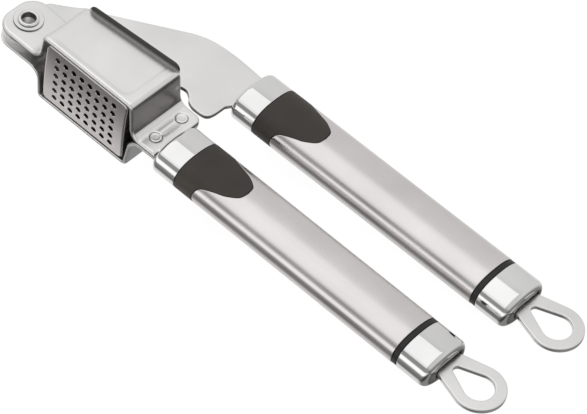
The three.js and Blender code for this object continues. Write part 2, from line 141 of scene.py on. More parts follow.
# pressed shapes in the shells
PANEL = {"x": 51.2, "y": -6.9, "corner": 3.4, "drop": 0.14, "width": 0.5, "start": 2.0, "fade": 4.0}
EMBOSS = {"x": 63.2, "y": 3.0, "reach": 3.1, "radius": 1.5, "depth": 0.12, "steepness": 1.6}

# main hinge
BORE_RADIUS = 2.45
# painted shade: above this height the bore is near-black steel
BORE_BRIGHT = 2.6  # the bore is satin up to this height and dark above it
SHANK_RADIUS = 3.1
RIM_RADIUS = 3.7
RIM_HEIGHT = 0.55
RIM_STEPS = 12
PIVOT_HOLE = 3.3
PIVOT_SIDES = 48
WASHER_RADIUS = 5.2
WASHER_THICK = 0.4
WASHER_EDGE = 0.3 * WASHER_THICK
TURN_STEPS = 64

# spot rivets through the flange
SPOT_X = 62.5
SPOT_Y = {"front": -3.2, "back": 9.1}
SPOT_RADIUS = 1.5
SPOT_HEAD = {"seat": 0.03, "radius": 2.05, "height": 0.16, "dish": 0.1}
# the head from its rim to its dished middle, as shares of its radius, its height and the dish
SPOT_PROFILE = (
    (1.0, 0, 0), (1.0, 0.5, 0), (0.92, 0.9, 0), (0.82, 1, 0), (0.7, 0.9, 0), (0.55, 1, 0.9), (0.4, 1, 1),
)

# handles: lengths are counted from the front of each ferrule
HANDLE_HALF_Y = 10.6
HANDLE_HALF_Z = 6.4
HANDLE_SQUARENESS = 2.3
HANDLE_SIDES = 128
SKIN = 0.9
FERRULE_END = 10.4
FERRULE_EDGE = 1.8
FERRULE_WALL = 1.6
SLEEVE_END = 106.5
RING_END = 108.5
CAP_END = 120.6
CAP_EDGE = 2.4
CAP_WALL = 2.4
CAP_SLOT_HALF_Z = 2.6
SEAM_EDGE = 0.25
RING_INSET = 0.12
TANG_END = 26.0
TANG_HALF_Y = 6.0
TANG_SLOT = (6.2, 1.85)
SLOT_SQUARENESS = 6
# the grip's tongue: how far it reaches at each distance from the handle's middle
TONGUE = ((0.0, 33.0), (3.4, 32.1), (6.0, 28.3), (7.0, 25.3), (8.8, 20.2), (10.6, 18.3))
TONGUE_STEPS = 200

# hanging loops
LOOP_Y = 1.2
LOOP_HALF_Z = 0.9
LOOP_EDGE = 0.4
LOOP_ROOT = (120.9, 5.9)
LOOP_STEM = (116.0, 5.0)
LOOP_RING = (133.4, 9.2)
LOOP_HOLE = (133.3, 5.2)
LOOP_HOLE_TIP = (124.6, 1.75)
LOOP_RING_WRAP = math.radians(108)
LOOP_HOLE_WRAP = math.radians(113.4)
LOOP_STEPS = 48

# where each handle stands: x, y and its turn about z
HANDLES = {
    "basket": {"x": 68.6, "y": -1.0, "toe": 0.0, "body": "housing"},
    "arm": {"x": 69.8, "y": 34.9, "toe": math.radians(0.45), "body": "arm"},
}

# lever arm and plunger
ARM_HALF_Z = 0.9
ARM_EDGE = 0.35
ARM_BOSS = 7.3
ARM_BOSS_ARC = (0.9 * math.pi, 2 * math.pi)
ARM_THROAT = ((12.2, 10.4), (15.8, 13.1), (20, 13.6), (24.6, 11.6))
NOSE_RADIUS = 4.0
NOSE_ARC = (1.12 * math.pi, 1.88 * math.pi)
ARM_NOTCH = ((48.2, 12.6), (50.4, 18), (54.2, 19.6), (57, 18.4), (58.8, 16.6))
ARM_HEEL = ((61.5, 15.7), (65.8, 15.9), (67.6, 17.2), (68.2, 19.6))
ARM_HEEL_END = (68.3, 24.2)
ARM_SHOULDER_Y = (26.4, 42.4)
ARM_BACK = ((56.5, 43), (47, 42.3), (40.5, 40.2), (35, 37))
ARM_TOP = ((14, 23.9), (8, 21), (4.4, 17.8), (-2.5, 12.7))
ARM_STEPS = 32
PIN_HOLE = 1.8
PIN_SIDES = 32
FOOT_X = (22.9, 51.6)
FOOT_Y = (-7.3, -4.1)
FOOT_HALF_Z = 11.8
FOOT_CORNER = 2.2
FOOT_EDGE = 0.5
BRACKET_X = (29.5, 42.5)
BRACKET_BASE = 1.0
BRACKET_EDGE = 0.2
LUG_Z = (1.6, 3.0)
LUG_RADIUS = 4.2
PIN_RADIUS = 1.6
PIN_HEAD = {"radius": 2.5, "height": 0.8, "edge": 0.4}

# ------------------------------------------------------------------ outlines


def arc(x, y, radius, start, end, steps=ARC_STEPS):
    """Points on an arc about (x, y), from one angle to the other."""
    angles = np.linspace(start, end, steps + 1)
    return np.column_stack((x + radius * np.cos(angles), y + radius * np.sin(angles)))


def circle(x, y, radius, sides):
    """A hole's outline, which runs clockwise so that the material is on its left."""
    return arc(x, y, radius, 2 * math.pi, 0, sides)[:-1]


def spline(points, steps=SPLINE_STEPS):
    """A smooth curve through the points, after Catmull and Rom."""
    points = np.array(points, float)
    padded = np.vstack((2 * points[0] - points[1], points, 2 * points[-1] - points[-2]))
    share = np.linspace(0, 1, steps, endpoint=False)[:, None]
    parts = []
    for a, b, c, d in zip(padded, padded[1:], padded[2:], padded[3:]):
        cubic = (3 * b - a - 3 * c + d) * share**3
        square = (2 * a - 5 * b + 4 * c - d) * share**2
        parts.append((2 * b + (c - a) * share + square + cubic) / 2)
    return np.vstack(parts + [points[-1:]])


def rounded_rectangle(x, y, radius, steps=CORNER_STEPS):
    """An outline that runs anticlockwise, with an arc at each corner."""
    return np.vstack((
        arc(x[1] - radius, y[1] - radius, radius, 0, math.pi / 2, steps),
        arc(x[0] + radius, y[1] - radius, radius, math.pi / 2, math.pi, steps),
        arc(x[0] + radius, y[0] + radius, radius, math.pi, 1.5 * math.pi, steps),
        arc(x[1] - radius, y[0] + radius, radius, 1.5 * math.pi, 2 * math.pi, steps),
    ))


def without_repeats(loop):
    """The closed outline without points that lie on the one before."""
    step = np.linalg.norm(loop - np.roll(loop, 1, axis=0), axis=1)
    return loop[step > MERGE]


def divided(loop, length):
    """The closed outline with extra points, so that no step is longer than length."""
    parts = []
    for start, end in zip(loop, np.roll(loop, -1, axis=0)):
        count = max(1, math.ceil(np.linalg.norm(end - start) / length))
        share = np.arange(count)[:, None] / count
        parts.append(start + (end - start) * share)
    return np.vstack(parts)


def inset(loop, distance):
    """The closed outline moved to its left, which is where the material is."""
    ahead = np.roll(loop, -1, axis=0) - loop
    ahead /= np.linalg.norm(ahead, axis=1)[:, None]
    normal = np.column_stack((-ahead[:, 1], ahead[:, 0]))
    middle = normal + np.roll(normal, 1, axis=0)
    middle /= np.linalg.norm(middle, axis=1)[:, None]
    stretch = np.maximum((middle * normal).sum(axis=1), MITRE_LIMIT)
    return loop + middle * (distance / stretch)[:, None]


def lip_seat(x):
    """The y of the shells' back edge, where the lip rests, at a given x."""
    return LIP_START[1] + (x - LIP_START[0]) * LIP_SLOPE


# ------------------------------------------------------------------ meshes


def add_ring(bm, points):
    """New points of the mesh, in the order given."""
    return [bm.verts.new(point) for point in points]


def join_rings(bm, rings, closed=False, material=0):
    """Bands of quads between neighbouring rings."""
    pairs = list(zip(rings, rings[1:]))
    if closed:
        pairs.append((rings[-1], rings[0]))
    for low, high in pairs:
        for i in range(len(low)):
            j = (i + 1) % len(low)
            face = bm.faces.new((low[i], low[j], high[j], high[i]))
            face.material_index = material


def fill(bm, rings):
    """Covers the flat area inside the first ring and outside the others."""
    edges = [bm.edges.get((a, b)) for ring in rings for a, b in zip(ring, ring[1:] + ring[:1])]
    bmesh.ops.triangle_fill(bm, use_beauty=True, edges=edges)


def rim_steps(radius, steps=EDGE_STEPS):
    """How far a round rim steps back and rises, from a line on the flat face to the side."""
    angles = np.linspace(0, math.pi / 2, steps + 1)
    return [(radius + FACE_BORDER, 0.0)] + [
        (radius * (1 - math.sin(a)), radius * (1 - math.cos(a))) for a in angles
    ]


def plate(loops, low, high, low_edge, high_edge):
    """A flat plate in (x, y) with round rims: the first loop is its outline and the others are holes."""
    bm = bmesh.new()
    lower = [(back, low + rise) for back, rise in rim_steps(low_edge)]
    upper = [(back, high - rise) for back, rise in reversed(rim_steps(high_edge))]
    bottoms = []
    tops = []
    for loop in loops:
        outline = without_repeats(loop)
        rings = []
        for back, height in lower + upper:
            points = inset(outline, back)
            rings.append(add_ring(bm, [(x, y, height) for x, y in points]))
        side = len(lower)
        join_rings(bm, rings[:side])
        join_rings(bm, rings[side - 1 : side + 1], material=1)
        join_rings(bm, rings[side:])
        bottoms.append(rings[0])
        tops.append(rings[-1])
    fill(bm, bottoms)
    fill(bm, tops)
    return bm


def turned(profile):
    """A closed profile of (radius, z) turned about the z axis."""
    bm = bmesh.new()
    angles = np.arange(TURN_STEPS) * 2 * math.pi / TURN_STEPS
    rings = []
    for radius, z in profile:
        rings.append(add_ring(bm, [(radius * math.cos(a), radius * math.sin(a), z) for a in angles]))
    join_rings(bm, rings, closed=True)
    return bm


def mirrored(profile):
    """The profile's lower half, in the order that closes it."""
    return [(radius, -z) for radius, z in reversed(profile)]


def paint(bm, material, chosen):
    """Gives a material to the faces that a rule chooses by their centre and normal."""
    bmesh.ops.recalc_face_normals(bm, faces=bm.faces)
    for face in bm.faces:
        if chosen(face.calc_center_median(), face.normal):
            face.material_index = material


def cut_lines(bm, axis, places):
    """Divides the whole mesh along planes across one axis."""
    normal = Vector([float(i == axis) for i in range(3)])
    for place in places:
        everything = bm.verts[:] + bm.edges[:] + bm.faces[:]
        bmesh.ops.bisect_plane(bm, geom=everything, dist=MERGE, plane_co=normal * place, plane_no=normal)


def merged(parts):
    """One mesh from several closed ones."""
    whole = bmesh.new()
    for part in parts:
        mesh = bpy.data.meshes.new("part")
        part.to_mesh(mesh)
        part.free()
        whole.from_mesh(mesh)
        bpy.data.meshes.remove(mesh)
    return whole


def move_points(bm, rule):
    """Moves every point of the mesh by a rule from place to place."""
    for vert in bm.verts:
        vert.co = rule(vert.co)


def place_mesh(name, bm, materials):
    """An object with smooth shading from a mesh drawn in millimetres about the hinge."""
    bmesh.ops.recalc_face_normals(bm, faces=bm.faces)
    bm.transform(TO_FRAME)
    mesh = bpy.data.meshes.new(name)
    bm.to_mesh(mesh)
    bm.free()
    mesh.shade_smooth()
    mesh.set_sharp_from_angle(angle=SHARP_ANGLE)
    for material in materials:
        mesh.materials.append(material)
    obj = bpy.data.objects.new(name, mesh)
    bpy.context.scene.collection.objects.link(obj)
    obj.modifiers.new("even shading", "WEIGHTED_NORMAL").keep_sharp = True
    return obj


def piece(node, bm, body, materials):
    """A piece that stands for a CAD node and rides on its body."""
    obj = place_mesh(node + "_finished", bm, materials)
    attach(obj, body)
    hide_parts(node)


def kept(node, material):
    """A CAD node that stays as it is, with a finer material in its slots."""
    obj = frame["nodes"][node]
    for place in obj.material_slots:
        place.material = material


# ------------------------------------------------------------------ materials

# sockets of the Mix node that carry colours
MIX_A = 6
MIX_B = 7
MIX_RESULT = 2

WORN_POINTINESS = (0.51, 0.6)

# steel: noise scales are per metre
STEEL_GRAIN = {"scale": 2200.0, "detail": 4.0, "rough": 0.6}
STEEL_CLOUD = {"scale": 45.0, "detail": 3.0}
STEEL_HAIR = {"scale": 700.0, "detail": 2.0, "stretch": (0.03, 1.0, 1.0)}
GRAIN_RANGE = (0.35, 0.7)
CLOUD_RANGE = (0.3, 0.7)
HAIR_RANGE = (0.62, 0.7)
STEEL_DARK = 0.93
STEEL_LIGHT = 1.04
GRAIN_TINT = 0.25
STEEL_WEAR = 0.35
WORN_STEEL = (0.9, 0.9, 0.89)
ROUGH_SPREAD = 0.03
HAIR_ROUGH = 0.04
GRAIN_DEPTH = 0.00004
# painted shade: the colour the lip darkens to at its free edge
LIP_PAINTED_SHADE = (0.08, 0.078, 0.07)

# plastic
PLASTIC_GRAIN = {"scale": 1500.0, "detail": 5.0, "rough": 0.65}
PLASTIC_CLOUD = {"scale": 60.0, "detail": 3.0, "rough": 0.55}
RUBBED_RANGE = (0.4, 0.75)
RUBBED_TINT = 0.5
RUBBED_GAIN = 1.5
RUBBED_LIFT = 0.004
PLASTIC_WEAR = 0.3
PLASTIC_SPREAD = 0.07
PLASTIC_SPECULAR = 0.35
PLASTIC_DEPTH = 0.0001


class Nodes:
    """A short way to write the nodes of a material or of the world."""

    def __init__(self, owner):
        owner.use_nodes = True
        self.owner = owner
        self.tree = owner.node_tree

    def add(self, kind, inputs=None, **settings):
        node = self.tree.nodes.new(kind)
        for key, value in settings.items():
            setattr(node, key, value)
        for key, value in (inputs or {}).items():
            self.set(node.inputs[key], value)
        return node

    def set(self, socket, value):
        """Links a socket's value, or writes a plain one on the socket."""
        if isinstance(value, bpy.types.NodeSocket):
            self.tree.links.new(value, socket)
        else:
            socket.default_value = value

    def shade(self, values):
        """Sets inputs of the Principled shader by their names."""
        for key, value in values.items():
            self.set(self.tree.nodes["Principled BSDF"].inputs[key], value)

    def stretched(self, scale):
        """Object coordinates scaled differently along each axis."""
        place = self.add("ShaderNodeTexCoord").outputs["Object"]
        return self.add("ShaderNodeMapping", {"Vector": place, "Scale": scale}).outputs["Vector"]

    def noise(self, scale, detail, rough=0.5, stretch=(1, 1, 1)):
        place = self.stretched(stretch)
        inputs = {"Vector": place, "Scale": scale, "Detail": detail, "Roughness": rough}
        return self.add("ShaderNodeTexNoise", inputs).outputs["Fac"]

    def between(self, fac, low, high, start=0.0, end=1.0, **settings):
        """Numbers from low to high as fac goes from start to end."""
        inputs = {"Value": fac, "From Min": start, "From Max": end, "To Min": low, "To Max": high}
        return self.add("ShaderNodeMapRange", inputs, **settings).outputs["Result"]

    def blend(self, fac, first, second):
        """A colour between two others."""
        node = self.add("ShaderNodeMix", data_type="RGBA")
        self.set(node.inputs["Factor"], fac)
        self.set(node.inputs[MIX_A], first)
        self.set(node.inputs[MIX_B], second)
        return node.outputs[MIX_RESULT]

    def math(self, operation, *values):
        node = self.add("ShaderNodeMath", operation=operation)
        for socket, value in zip(node.inputs, values):
            self.set(socket, value)
        return node.outputs["Value"]

    def bump(self, height, strength, distance):
        inputs = {"Height": height, "Strength": strength, "Distance": distance}
        return self.add("ShaderNodeBump", inputs).outputs["Normal"]

    def worn_edges(self):
        """From 0 on flat faces to 1 on sharp outer edges."""
        pointiness = self.add("ShaderNodeNewGeometry").outputs["Pointiness"]
        return self.between(pointiness, 0.0, 1.0, *WORN_POINTINESS)


def colour(r, g, b):
    """An opaque colour for a socket."""
    return (r, g, b, 1.0)


def steel(name, base, rough, grain, scratch=0.3, stretch=(1, 1, 1)):
    """Nodes of steel with a fine grain, blotches of wear, hairline scratches and brighter edges."""
    nodes = Nodes(bpy.data.materials.new(name))
    fine = nodes.noise(stretch=stretch, **STEEL_GRAIN)
    cloud = nodes.noise(**STEEL_CLOUD)
    hairline = nodes.between(nodes.noise(**STEEL_HAIR), 0.0, 1.0, *HAIR_RANGE)
    dark = colour(*(STEEL_DARK * value for value in base))
    light = colour(*(min(1.0, STEEL_LIGHT * value) for value in base))
    tone = nodes.blend(nodes.between(cloud, 0.0, 1.0, *CLOUD_RANGE), dark, light)
    tone = nodes.blend(nodes.between(fine, 0.0, GRAIN_TINT, *GRAIN_RANGE), tone, dark)
    edges = nodes.math("MULTIPLY", nodes.worn_edges(), STEEL_WEAR)
    spread = nodes.between(cloud, rough - ROUGH_SPREAD, rough + ROUGH_SPREAD, *CLOUD_RANGE)
    scratches = nodes.math("MULTIPLY", hairline, HAIR_ROUGH * scratch)
    nodes.shade({
        "Base Color": nodes.blend(edges, tone, colour(*WORN_STEEL)),
        "Roughness": nodes.math("ADD", spread, scratches),
        "Metallic": 1.0,
        "Normal": nodes.bump(fine, grain, GRAIN_DEPTH),
    })
    return nodes


def lip_shaded_steel():
    """The folded lip's steel, painted with shade: dark all over, and darker still towards its free edge."""
    nodes = steel("lip_shaded_steel", base=(0.42, 0.41, 0.4), rough=0.4, grain=0.5)
    split = nodes.add("ShaderNodeSeparateXYZ", {"Vector": nodes.stretched((1, 1, 1))})
    height = nodes.math("ABSOLUTE", nodes.math("SUBTRACT", split.outputs["Z"], HINGE.z))
    start, end = ((PLATE_Z + rise) * MM for rise in LIP_FADE)
    dark = nodes.between(height, 0.0, 1.0, start, end)
    shader = nodes.tree.nodes["Principled BSDF"]
    bright = shader.inputs["Base Color"].links[0].from_socket
    nodes.shade({"Base Color": nodes.blend(dark, bright, colour(*LIP_PAINTED_SHADE))})
    return nodes


def plastic(name, base, rough, grain):
    """Nodes of moulded plastic with a fine leathery grain and greyer, rubbed patches."""
    nodes = Nodes(bpy.data.materials.new(name))
    fine = nodes.noise(**PLASTIC_GRAIN)
    cloud = nodes.noise(**PLASTIC_CLOUD)
    pale = colour(*(RUBBED_GAIN * value + RUBBED_LIFT for value in base))
    tone = nodes.blend(nodes.between(cloud, 0.0, RUBBED_TINT, *RUBBED_RANGE), colour(*base), pale)
    edges = nodes.math("MULTIPLY", nodes.worn_edges(), PLASTIC_WEAR)
    nodes.shade({
        "Base Color": nodes.blend(edges, tone, pale),
        "Roughness": nodes.between(fine, rough - PLASTIC_SPREAD, rough + PLASTIC_SPREAD),
        "Specular IOR Level": PLASTIC_SPECULAR,
        "Normal": nodes.bump(fine, grain, PLASTIC_DEPTH),
    })
    return nodes


# how the grain is stretched: a small share draws it out along that axis
ALONG_HANDLE = (0.02, 1, 1)
UPRIGHT_GRAIN = (1, 1, 0.05)
CUT_GRAIN = (1, 1, 0.2)

SATIN = steel("satin_steel", base=(0.93, 0.93, 0.925), rough=0.3, grain=0.2).owner
# painted shade: dark steel on the sheets' cut edges, over a rougher cut grain
SHADED_CUT_EDGE = steel("shaded_cut_edge", base=(0.36, 0.35, 0.34), rough=0.45, grain=0.5, stretch=CUT_GRAIN).owner
BRUSHED = steel(
    "brushed_steel", base=(0.80, 0.775, 0.77), rough=0.25, grain=0.4, scratch=0.8, stretch=ALONG_HANDLE,
).owner
POLISHED = steel("polished_steel", base=(0.88, 0.88, 0.88), rough=0.07, grain=0.02, scratch=0.6).owner
SIEVE = steel("sieve_steel", base=(0.72, 0.685, 0.675), rough=0.22, grain=0.3).owner
# painted shade: a dark copy of the steel, for the upper shell's end wall, the inside of the basket and the
# caps' end faces
PAINTED_SHADE_STEEL = steel("painted_shade_steel", base=(0.28, 0.27, 0.265), rough=0.28, grain=0.5, stretch=UPRIGHT_GRAIN).owner
LIP = lip_shaded_steel().owner
# painted shade: a near-black steel for the upper bore, the washers' outer rims and the whole plunger foot
# inside the basket
DEEP_SHADE_STEEL = steel("deep_shade_steel", base=(0.12, 0.12, 0.12), rough=0.3, grain=0.3).owner
GRIP = plastic("grip_plastic", base=(0.047, 0.041, 0.034), rough=0.5, grain=0.35).owner
RING = plastic("ring_plastic", base=(0.02, 0.02, 0.02), rough=0.4, grain=0.15).owner
CORE = plastic("core_plastic", base=(0.07, 0.07, 0.075), rough=0.7, grain=0.3).owner

# ------------------------------------------------------------------ shells


def bent_line(corners):
    """Points along the middle of a bent sheet, from corners given as (x, z, bend radius)."""
    points = [np.array(corners[0][:2], float)]
    for before, corner, after in zip(corners, corners[1:], corners[2:]):
        at = np.array(corner[:2], float)
        inward = at - np.array(before[:2])
        onward = np.array(after[:2]) - at
        inward /= np.linalg.norm(inward)
        onward /= np.linalg.norm(onward)
        cross = inward[0] * onward[1] - inward[1] * onward[0]
        turn = math.copysign(math.acos(inward @ onward), cross)
        radius = math.copysign(corner[2], cross)
        start = at - inward * abs(radius * math.tan(turn / 2))
        centre = start + radius * np.array((-inward[1], inward[0]))
        spoke = start - centre
        for share in np.linspace(0, 1, BEND_STEPS + 1):
            c, s = math.cos(share * turn), math.sin(share * turn)
            points.append(centre + np.array((c * spoke[0] - s * spoke[1], s * spoke[0] + c * spoke[1])))
    points.append(np.array(corners[-1][:2], float))
    return np.array(points)


class BentSheet:
    """The middle line of the shells, for moving points between the flat sheet and the bent one."""

    def __init__(self, corners):
        self.line = bent_line(corners)
        step = np.diff(self.line, axis=0)
        length = np.linalg.norm(step, axis=1)
        self.along = np.concatenate(([0.0], np.cumsum(length)))
        side = np.column_stack((-step[:, 1], step[:, 0])) / length[:, None]
        self.side = np.vstack((side[:1], (side[1:] + side[:-1]) / 2, side[-1:]))
        self.side /= np.linalg.norm(self.side, axis=1)[:, None]

    def flat(self, x):
        """How far along the sheet the plan's x lies."""
        return np.interp(x, self.line[:, 0], self.along)

    def bent(self, point, press):
        """Where a point (along, y, height above the middle) of the flat sheet goes."""
        x = np.interp(point.x, self.along, self.line[:, 0])
        z = np.interp(point.x, self.along, self.line[:, 1])
        side_x = np.interp(point.x, self.along, self.side[:, 0])
        side_z = np.interp(point.x, self.along, self.side[:, 1])
        height = point.z + press(x, point.y)
        return Vector((x + side_x * height, point.y, z + side_z * height))


def smooth(value):
    """An S-shaped step from 0 to 1."""
    value = min(1.0, max(0.0, value))
    return value * value * (3 - 2 * value)


def panel_drop(x, y):
    """How far the plate is sunk: its panel has straight sides and a rounded corner."""
    u = x - PANEL["x"] + PANEL["corner"]
    v = PANEL["y"] + PANEL["corner"] - y
    out = math.hypot(max(u, 0), max(v, 0)) + min(max(u, v), 0) - PANEL["corner"]
    border = PANEL["drop"] * smooth(out / PANEL["width"])
    on_plate = smooth((x - EAR_WALL_X[1] - PANEL["start"]) / PANEL["fade"])
    return (PANEL["drop"] - border) * on_plate


def dent(x, y):
    """How far the flange is sunk between the two spot rivets."""
    reach = abs(y - EMBOSS["y"]) - EMBOSS["reach"]
    near = math.hypot(x - EMBOSS["x"], max(reach, 0)) / EMBOSS["radius"]
    return EMBOSS["depth"] * smooth(EMBOSS["steepness"] * (1 - near))


def pressed(x, y):
    """Height of the shapes pressed into a shell, which is below zero where the sheet is sunk."""
    return -dent(x, y) if x > END_WALL_X[0] + MARGIN else -panel_drop(x, y)


def shell_plan():
    """The outline of a shell seen from above, with its tang inside the handle."""
    left = EAR_END_X + EAR_CORNER
    seat = np.array([(x, lip_seat(x) + LIP_TUCK) for x in (END_WALL_X[0], SEAT_START_X)])
    neck = spline([seat[1], NECK_ROOT, NECK, EAR_SHOULDER])
    corner = (FLANGE_END_X - FLANGE_CORNER, FLANGE_BACK[1] - FLANGE_CORNER)
    tang = HANDLES["basket"]["y"] + np.array((-TANG_HALF_Y, TANG_HALF_Y))
    tang_end = HANDLES["basket"]["x"] + TANG_END
    return np.vstack((
        [(FLANGE_END_X, SHELL_FRONT_Y), (FLANGE_END_X, tang[0]), (tang_end, tang[0])],
        [(tang_end, tang[1]), (FLANGE_END_X, tang[1])],
        arc(*corner, FLANGE_CORNER, 0, math.pi / 2),
        [FLANGE_BACK],
        seat[:1],
        neck,
        arc(left, EAR_BACK_Y - EAR_CORNER, EAR_CORNER, math.pi / 2, math.pi),
        arc(left, SHELL_FRONT_Y + EAR_CORNER, EAR_CORNER, math.pi, 1.5 * math.pi),
    ))


def bent_sheet():
    """The shells' section: from the ear up to the plate, and down the end wall to the flange."""
    middle = SHEET / 2
    tang_end = HANDLES["basket"]["x"] + TANG_END
    return BentSheet([
        (EAR_END_X - SHEET_SPARE, EAR_Z - middle),
        (EAR_WALL_X[0], EAR_Z - middle, EAR_BEND),
        (EAR_WALL_X[1], PLATE_Z - middle, CREST_BEND),
        (END_WALL_X[1], PLATE_Z - middle, END_BEND),
        (END_WALL_X[0], FLANGE_Z - middle, COVE_BEND),
        (tang_end + SHEET_SPARE, FLANGE_Z - middle),
    ])


def flat_shell(sheet):
    """The sheet before bending, with its holes."""
    loops = [divided(without_repeats(shell_plan()), PLAN_STEP), circle(0, 0, PIVOT_HOLE, PIVOT_SIDES)]
    loops += [circle(SPOT_X, y, SPOT_RADIUS + GAP, HOLE_SIDES) for y in SPOT_Y.values()]
    flat = [np.column_stack((sheet.flat(loop[:, 0]), loop[:, 1])) for loop in loops]
    return plate(flat, -SHEET / 2, SHEET / 2, SHELL_INNER_EDGE, SHELL_EDGE)


def shell(node, side):
    """One shell: the flat sheet gets a grid of points, and is then pressed and bent."""
    sheet = bent_sheet()
    bm = flat_shell(sheet)
    end_wall = SATIN
    if side > 0:
        # the photo shows the upper shell's cut edges dark below their bright rounding, and its end wall
        # dark: both are painted shade, laid on as dark steel
        end_wall = PAINTED_SHADE_STEEL
        under_rim = SHEET / 2 - SHELL_EDGE
        paint(bm, 1, lambda centre, normal: centre.z < under_rim and abs(normal.z) < UPRIGHT)
    start = sheet.flat(EAR_WALL_X[0] - EAR_BEND)
    end = sheet.flat(FLANGE_END_X)
    cut_lines(bm, 0, sheet.along[1:-1])
    cut_lines(bm, 0, np.arange(start, end, SHEET_GRID))
    cut_lines(bm, 1, np.arange(SHELL_FRONT_Y + SHELL_EDGE, FLANGE_BACK[1], SHEET_GRID))
    move_points(bm, lambda point: sheet.bent(point, pressed))
    paint(bm, 2, lambda centre, normal: centre.x > LIP_X[1] - MARGIN and normal.x > WALL_FACING)
    if side < 0:
        bm.transform(Matrix.Scale(-1, 4, (0, 0, 1)))
    # painted shade: both shells' cut edges get the dark cut-edge steel, and the upper shell's end wall the
    # painted-shade steel
    piece(node, bm, "housing", [SATIN, SHADED_CUT_EDGE, end_wall])


def flange_rivet(node, y):
    """A spot rivet: a low round head with a dished middle on each side of the flange."""
    radius, height, dish = (SPOT_HEAD[key] for key in ("radius", "height", "dish"))
    seat = FLANGE_Z + SPOT_HEAD["seat"]
    upper = [(SPOT_RADIUS, seat)]
    upper += [(share * radius, seat + rise * height - sink * dish) for share, rise, sink in SPOT_PROFILE]
    upper.append((TINY, seat + height - dish))
    bm = turned(upper + mirrored(upper))
    bm.transform(Matrix.Translation((SPOT_X, y, 0)))
    piece(node, bm, "housing", [SATIN])


# ------------------------------------------------------------------ sieve basket


def box_ring(bm, grow, half_z, x, corner, height):
    """A rounded rectangle in (x, z), grown on all sides, at a height that may depend on x."""
    wide = (x[0] - grow, x[1] + grow)
    deep = (-half_z - grow, half_z + grow)
    outline = rounded_rectangle(wide, deep, corner + grow)
    return add_ring(bm, [(px, height(px), pz) for px, pz in outline])


def bulged(point):
    """The sieve stands out in its middle: where a point of the flat basket goes."""
    share = min(1.0, abs(point.z) / (BASKET_HALF_Z - BASKET_EDGE))
    near = 1 - smooth((point.y - SIEVE_Y - SIEVE_WALL - GAP) / BASKET_EDGE)
    return point + Vector((0, SIEVE_BULGE * share**2 * near, 0))


def in_cup(point):
    """Whether a place lies within the basket's mouth."""
    in_x = BASKET_X[0] + SIEVE_WALL / 2 < point.x < BASKET_X[1] - SIEVE_WALL / 2
    return in_x and abs(point.z) < BASKET_HALF_Z - SIEVE_WALL / 2


def on_lip(centre, normal):
    """Whether a face is on the lip's front or rim, which the photo shows dark: they get the lip's painted
    shade.
    """
    clear = centre.y > LIP_START[1] and abs(centre.z) > PLATE_Z - MARGIN
    return clear and normal.y < LIP_BACK


def basket_skin(bm):
    """The drawn cup with its folded lip, open at the sieve: returns the sieve's outer and inner border."""
    outer = (BASKET_HALF_Z, BASKET_X, BASKET_CORNER)
    mouth_x = (BASKET_X[0] + SIEVE_WALL, BASKET_X[1] - SIEVE_WALL)
    inner = (BASKET_HALF_Z - SIEVE_WALL, mouth_x, BASKET_CORNER - SIEVE_WALL)
    lip = (LIP_HALF_Z, LIP_X, LIP_CORNER)
    floor = SIEVE_Y + SIEVE_WALL
    cup = []
    for back, rise in rim_steps(BASKET_EDGE):
        cup.append(box_ring(bm, -back, *outer, lambda x, up=rise: SIEVE_Y + up))
    for back, rise in reversed(rim_steps(LIP_EDGE)):
        cup.append(box_ring(bm, back, *outer, lambda x, up=rise: lip_seat(x) - up))
    rim = cup[-1:]
    for back, rise in rim_steps(LIP_EDGE):
        rim.append(box_ring(bm, -back, *lip, lambda x, up=rise: lip_seat(x) + up))
    for back, rise in reversed(rim_steps(LIP_EDGE)):
        rim.append(box_ring(bm, -back, *lip, lambda x, up=rise: lip_seat(x) + LIP_THICK - up))
    for back, rise in rim_steps(MOUTH_EDGE):
        rim.append(box_ring(bm, back, *inner, lambda x, up=rise: lip_seat(x) + LIP_THICK - up))
    inside = rim[-1:]
    for back, rise in reversed(rim_steps(CUP_EDGE)):
        inside.append(box_ring(bm, -back, *inner, lambda x, up=rise: floor + up))
    for rings in (cup, rim, inside):
        join_rings(bm, rings)
    return cup[0], inside[-1]


def sieve_hole(bm, column, row):
    """A chamfered hole through the sieve: returns its outer and inner border."""
    x = HOLE_FIRST_X + column * HOLE_PITCH
    z = (row - (HOLE_ROWS - 1) / 2) * HOLE_PITCH
    chamfer = HOLE_CHAMFER
    steps = ((chamfer, 0.0), (0.0, chamfer), (0.0, SIEVE_WALL - chamfer), (chamfer, SIEVE_WALL))
    rings = []
    for wider, depth in steps:
        outline = circle(x, z, HOLE_RADIUS + wider, HOLE_SIDES)
        rings.append(add_ring(bm, [(px, SIEVE_Y + depth, pz) for px, pz in outline]))
    join_rings(bm, rings)
    return rings[0], rings[-1]


def sieve_basket():
    """The drawn cup with its perforated wall and its folded lip, as one closed skin."""
    bm = bmesh.new()
    borders = [basket_skin(bm)]
    for column in range(HOLE_COLUMNS):
        for row in range(HOLE_ROWS):
            borders.append(sieve_hole(bm, column, row))
    for face_borders in zip(*borders):
        fill(bm, face_borders)
    cut_lines(bm, 2, np.arange(-BASKET_HALF_Z, BASKET_HALF_Z, SIEVE_GRID))
    move_points(bm, bulged)
    # painted shade: the lip's front and rim get the dark lip steel
    paint(bm, 1, on_lip)
    # painted shade: the inside of the cup gets the dark painted-shade steel
    inside = SIEVE_Y + SIEVE_WALL - CUP_EDGE / 2
    paint(bm, 2, lambda centre, normal: in_cup(centre) and centre.y > inside)
    piece("sieve_basket", bm, "housing", [SIEVE, LIP, PAINTED_SHADE_STEEL])


# ------------------------------------------------------------------ main hinge


